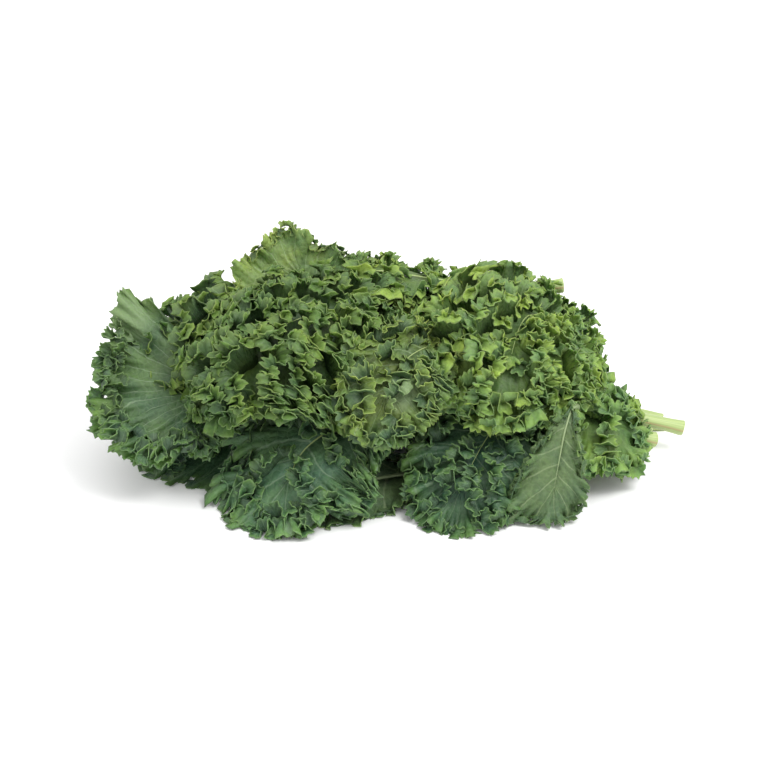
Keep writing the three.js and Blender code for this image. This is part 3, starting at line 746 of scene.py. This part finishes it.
# The grey-green leaf at the far left: its broad smooth blade faces the front, its side veins fanning out.
# Waxy, bluish tissue that only curls in a narrow band along the margin.
grey_skin = tissue("grey_skin", (0.087, 0.145, 0.074), (0.081, 0.140, 0.062), (0.108, 0.193, 0.046),
                   (0.150, 0.230, 0.098), (0.22, 0.30, 0.18), veins=30, vein_strength=0.6,
                   warm=(1.1, 1.08, 0.9))
bleach(grey_skin, (-0.171, 0.008, 0.093), 0.012, 0.026, 0.7, (0.19, 0.27, 0.13))
grey_under = tissue("grey_under", (0.090, 0.140, 0.090), (0.085, 0.135, 0.080), (0.085, 0.150, 0.060),
                    (0.150, 0.230, 0.098), (0.22, 0.30, 0.18), veins=30, vein_strength=0.5,
                    warm=(1.1, 1.08, 0.9))
grow(dict(name="far_left_leaf", number=5, slot="grey_green_leaf",
          spine=[(120, 20, 12), (20, 12, 26), (-70, 0, 46), (-130, -2, 56), (-176, -4, 58)],
          faces=[UP, UP, (0, -0.5, 0.85), (-0.1, -0.6, 0.8)], bend=(1 / 90, 1 / 160),
          blade=104, width=56, spurs=((-53, 0.2, 7), (-62, 0.14, 6), (-80, -0.6, 10), (-100, -0.55, 18)),
          frills=0, flop=7,
          hems=((0.93, 13, 130), (0.78, 12, 90)), hem_lobe=11,
          hem_runs=((1, 163, 112), (1, 116, 62), (1, 66, 12), (1, 18, -18), (-1, 14, 40)),
          crimps=((2.4, 12, 0.74), (1.3, 5.5, 0.84)), tooth=2.0, wave=0.5, fan=0.35,
          blade_cols=520, levels=(0, 0.2, 0.38, 0.54, 0.67, 0.77, 0.85, 0.92, 0.97, 1),
          skins=[grey_skin, grey_under], rib=stalk_flesh))

# The dark leaves under the front and on the ground: older blades, blue-green, curled at the margin.
# They carry the heap, and their veins stand out pale against the dark tissue.
dark_skin = tissue("dark_skin", (0.043, 0.092, 0.054), (0.056, 0.111, 0.051), (0.087, 0.159, 0.046),
                   (0.136, 0.218, 0.090), (0.14, 0.21, 0.12), veins=26, vein_strength=0.55, gloss=0.42,
                   warm=(1.1, 1.08, 0.85))
dark_under = tissue("dark_under", (0.062, 0.103, 0.057), (0.068, 0.117, 0.057), (0.088, 0.152, 0.055),
                    (0.122, 0.194, 0.083), (0.16, 0.23, 0.14), veins=26, vein_strength=0.5,
                    warm=(1.1, 1.08, 0.9))
# the dark skin painted lighter, as painted light, for the front left leaf where it lies under the left
# dome's overhang
painted_lit_dark_skin = tissue("painted_lit_dark_skin", (0.072, 0.139, 0.080), (0.091, 0.167, 0.075), (0.127, 0.224, 0.068),
                    (0.150, 0.230, 0.098), (0.20, 0.29, 0.18), veins=18, vein_strength=0.6, gloss=0.45,
                    warm=(1.1, 1.08, 0.85))
grow(dict(name="front_left_leaf", number=6, slot="dark_leaf",
          spine=[(140, -16, 16), (50, -14, 30), (-8, -22, 44), (-44, -42, 36), (-58, -66, 15),
                 (-60, -84, 1)],
          faces=[UP, UP, (-0.2, -0.4, 0.9), (-0.3, -0.7, 0.6)], bend=(-1 / 140, -1 / 90),
          blade=118, width=49, spurs=((0, 0.08, 16),),
          frills=3, height=12, lobe=11.5, flop=6.5, frill_cols=130,
          hems=((0.94, 12, 110), (0.76, 11, 70)), hem_lobe=11,
          crimps=SMALL_CRIMPS, tooth=2.3,
          blade_cols=440, levels=CLOSE_LEVELS,
          skins=[painted_lit_dark_skin, dark_under], rib=stalk_flesh))
grow(dict(name="front_mid_leaf", number=7, slot="dark_leaf",
          spine=[(172, 0, 20), (114, -6, 34), (76, -24, 46), (52, -54, 29), (38, -82, -3)],
          faces=[UP, UP, (0, -0.4, 0.9), (-0.1, -0.7, 0.6)], bend=(-1 / 90, -1 / 70),
          blade=115, width=42, flare=-0.1, spurs=((0, 0.08, 16),),
          frills=5, height=12, lobe=11.5, flop=6.5, frill_cols=130,
          hems=((0.94, 11, 95),), hem_lobe=11,
          crimps=SMALL_CRIMPS, tooth=2.3,
          blade_cols=360, levels=CLOSE_LEVELS,
          rib_share=0.25,
          skins=[dark_skin, dark_under], rib=stalk_flesh))
grow(dict(name="lower_left_leaf", number=13, slot="dark_leaf",
          spine=[(150, 4, 5.4), (40, -2, 5.4), (-50, 4, 12), (-110, 13, 11), (-158, 18, 5)],
          faces=[UP, (0, -0.3, 0.95), (0, -0.35, 0.9)], bend=(-1 / 120, -1 / 120),
          blade=130, width=45,
          frills=2, height=11, lobe=11.5, flop=6.5, frill_cols=120,
          hems=((0.93, 10, 95),), hem_lobe=11,
          crimps=SMALL_CRIMPS, tooth=2.3,
          blade_cols=400, levels=CLOSE_LEVELS,
          skins=[dark_skin, dark_under], rib=stalk_flesh))
grow(dict(name="under_leaf", number=14, slot="dark_leaf",
          spine=[(188, 50, 5.4), (130, 44, 5.4), (60, 40, 9), (-10, 44, 11), (-60, 50, 14)],
          faces=[UP, UP, UP], bend=(1 / 160, 1 / 120),
          blade=170, width=60,
          frills=0, flop=7,
          hems=((0.88, 8, 50),),
          crimps=SMALL_CRIMPS, tooth=1.8,
          blade_cols=300, levels=CLOSE_LEVELS,
          skins=[dark_skin, dark_under], rib=stalk_flesh))

# The two leaves that show their pale backs: one hangs over the front, one lies turned at the front edge.
# The back of the tissue is matt and grey-green, with the midrib and veins raised on it.
vein_flesh = rib_flesh("vein_flesh", (0.27, 0.34, 0.17), (0.18, 0.25, 0.12), (0.30, 0.27, 0.14))
pale_back = tissue("pale_back", (0.096, 0.141, 0.068), (0.089, 0.137, 0.058), (0.087, 0.146, 0.048),
                   (0.26, 0.36, 0.14), (0.240, 0.304, 0.160), veins=15, vein_strength=0.45, gloss=0.55,
                   warm=(1.08, 1.06, 0.9))
pale_front = tissue("pale_front", (0.050, 0.095, 0.045), (0.060, 0.110, 0.045), (0.080, 0.150, 0.045),
                    (0.22, 0.32, 0.13), (0.20, 0.28, 0.15), veins=24, vein_strength=0.5)
grow(dict(name="front_pale_leaf", number=0, slot="leaf_underside",
          spine=[(118, -20, 50), (111, -42, 60), (105, -57, 52), (100, -68, 28), (96, -76, 2)],
          faces=[(0, 0.1, -1), (0.2, 0.3, -0.9), (0, 0.8, -0.6), (0, 0.9, -0.2)], bend=(1 / 120, 1 / 90),
          blade=76, width=16, flare=1.0,
          spurs=((0, -0.05, 20), (-30, -0.02, 9), (45, 0.3, 18), (20, 0.1, 8), (-75, -0.2, 30)),
          frills=0, flop=7,
          hems=((0.95, 4, 70),),
          crimps=((2.4, 11, 0.6), (1.2, 5.2, 0.75)), tooth=2.9,
          blade_cols=380, levels=CLOSE_LEVELS,
          stalk_share=0.6, rib_share=0.3,
          skins=[pale_front, pale_back], rib=vein_flesh))
grow(dict(name="front_turned_leaf", number=12, slot="leaf_underside",
          spine=[(150, -12, 5.4), (70, -20, 7), (14, -30, 10), (-32, -47, 8), (-64, -67, 2)],
          faces=[(0, -0.2, -1), (0, 0.1, -1), (0, 0.3, -0.9)], bend=(1 / 110, 1 / 110),
          blade=110, width=32,
          frills=0, flop=7,
          hems=((0.94, 4, 60),),
          crimps=((2.6, 11, 0.6), (1.2, 5.2, 0.75)), tooth=1.9,
          blade_cols=340, levels=CLOSE_LEVELS,
          skins=[pale_front, pale_back], rib=vein_flesh))

# The floor: a plain pale sheet that the bunch lies on.
# It isn't part of the bunch.
bpy.ops.object.select_all(action="DESELECT")
bpy.ops.mesh.primitive_plane_add(size=6, location=(0, 0, 0))
floor = bpy.context.object
floor.name = "floor"
paper = bpy.data.materials.new("pale_floor")
paper.use_nodes = True
paper.node_tree.nodes["Principled BSDF"].inputs["Base Color"].default_value = (0.92, 0.92, 0.92, 1)
paper.node_tree.nodes["Principled BSDF"].inputs["Roughness"].default_value = 0.9
floor.data.materials.append(paper)

# The light: an even bright room, brighter overhead, with one broad soft lamp in front of the bunch.
# The lamp hangs above the right front, so the curls shade each other softly.
LOW_GLOW = 0.78
HIGH_GLOW = 1.6
LAMP_POWER = 5.2
LAMP_SIZE = 0.35
room = bpy.data.worlds.new("room")
room.use_nodes = True
room.node_tree.nodes["Background"].inputs["Color"].default_value = (1, 1, 1, 1)
sky = room.node_tree.nodes.new("ShaderNodeTexCoord")
height = room.node_tree.nodes.new("ShaderNodeSeparateXYZ")
glow = room.node_tree.nodes.new("ShaderNodeMapRange")
glow.inputs["From Min"].default_value = 0
glow.inputs["From Max"].default_value = 1
glow.inputs["To Min"].default_value = LOW_GLOW
glow.inputs["To Max"].default_value = HIGH_GLOW
room.node_tree.links.new(sky.outputs["Generated"], height.inputs[0])
room.node_tree.links.new(height.outputs["Z"], glow.inputs["Value"])
room.node_tree.links.new(glow.outputs["Result"], room.node_tree.nodes["Background"].inputs["Strength"])
bpy.context.scene.world = room
bpy.ops.object.light_add(type="AREA", location=(0.4, -0.35, 0.8))
lamp = bpy.context.object
lamp.name = "soft_lamp"
lamp.data.energy = LAMP_POWER
lamp.data.size = LAMP_SIZE
lamp.rotation_euler = (Vector((0, 0, 0)) - lamp.location).to_track_quat("-Z", "Y").to_euler()

# The camera: straight in front of the bunch and 25 degrees above it, on a long lens.
# It looks at the middle of the heap from a little under 80 centimetres.
LENS = 60
DISTANCE = 0.785
RISE = math.radians(25)
target = Vector((-0.00819, -0.01646, 0.0569))
bpy.ops.object.camera_add(location=target + DISTANCE * Vector((0, -math.cos(RISE), math.sin(RISE))))
camera = bpy.context.object
camera.data.lens = LENS
camera.rotation_euler = (target - camera.location).to_track_quat("-Z", "Y").to_euler()
bpy.context.scene.camera = camera
bpy.context.scene.view_settings.view_transform = "Standard"
